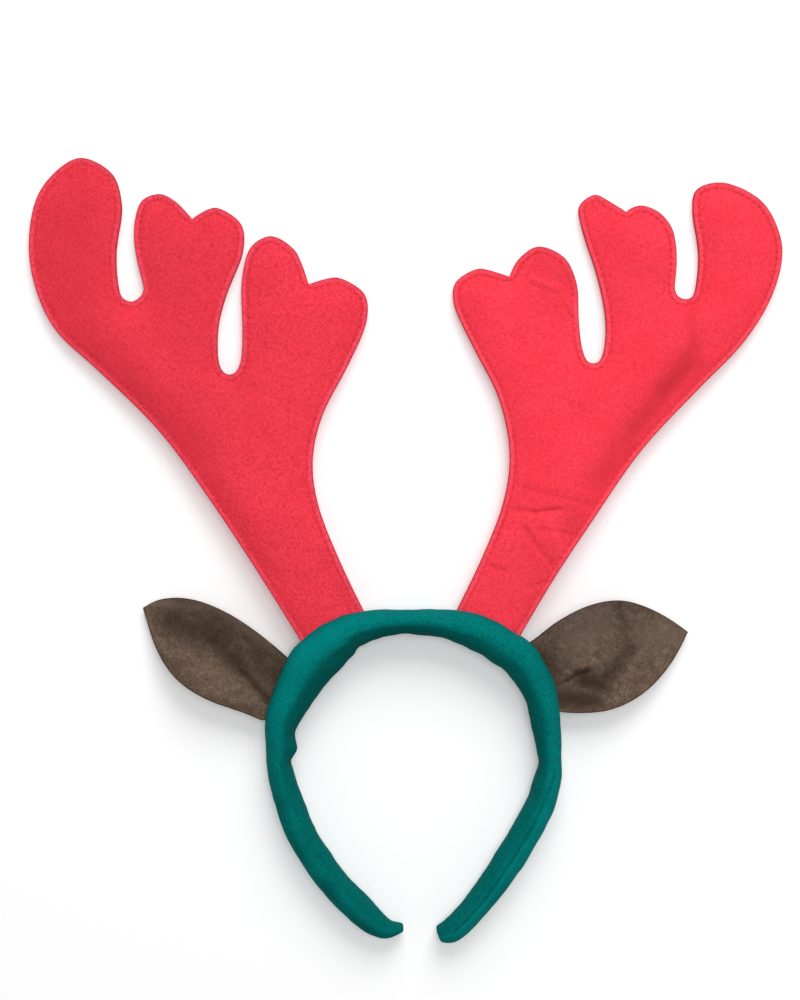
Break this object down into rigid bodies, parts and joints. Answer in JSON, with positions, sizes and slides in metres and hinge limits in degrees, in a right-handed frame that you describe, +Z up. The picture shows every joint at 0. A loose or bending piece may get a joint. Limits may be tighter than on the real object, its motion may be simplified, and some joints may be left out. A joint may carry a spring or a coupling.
{
  "type": "reindeer antler headband",
  "caption": "Padded felt-covered horseshoe headband with stitched red felt antlers and cupped brown felt ears, lying on its back.",
  "frame": {"origin": "under the middle of the outline, on the surface that the headband lies on", "axes": "+Z up, out of the headband's front, +Y towards the antler tips, +X to the right as seen from the front"},
  "size_m": [0.3642, 0.378, 0.024],
  "materials": {
    "sleeve_felt": "matte",
    "antler_felt": "matte",
    "ear_felt": "matte"
  },
  "bodies": {
    "root": {"headband_sleeve": "sleeve_felt", "antler_left_front": "antler_felt", "antler_left_back": "antler_felt", "antler_right_front": "antler_felt", "antler_right_back": "antler_felt", "ear_left": "ear_felt", "ear_right": "ear_felt"}
  },
  "joints": []
}
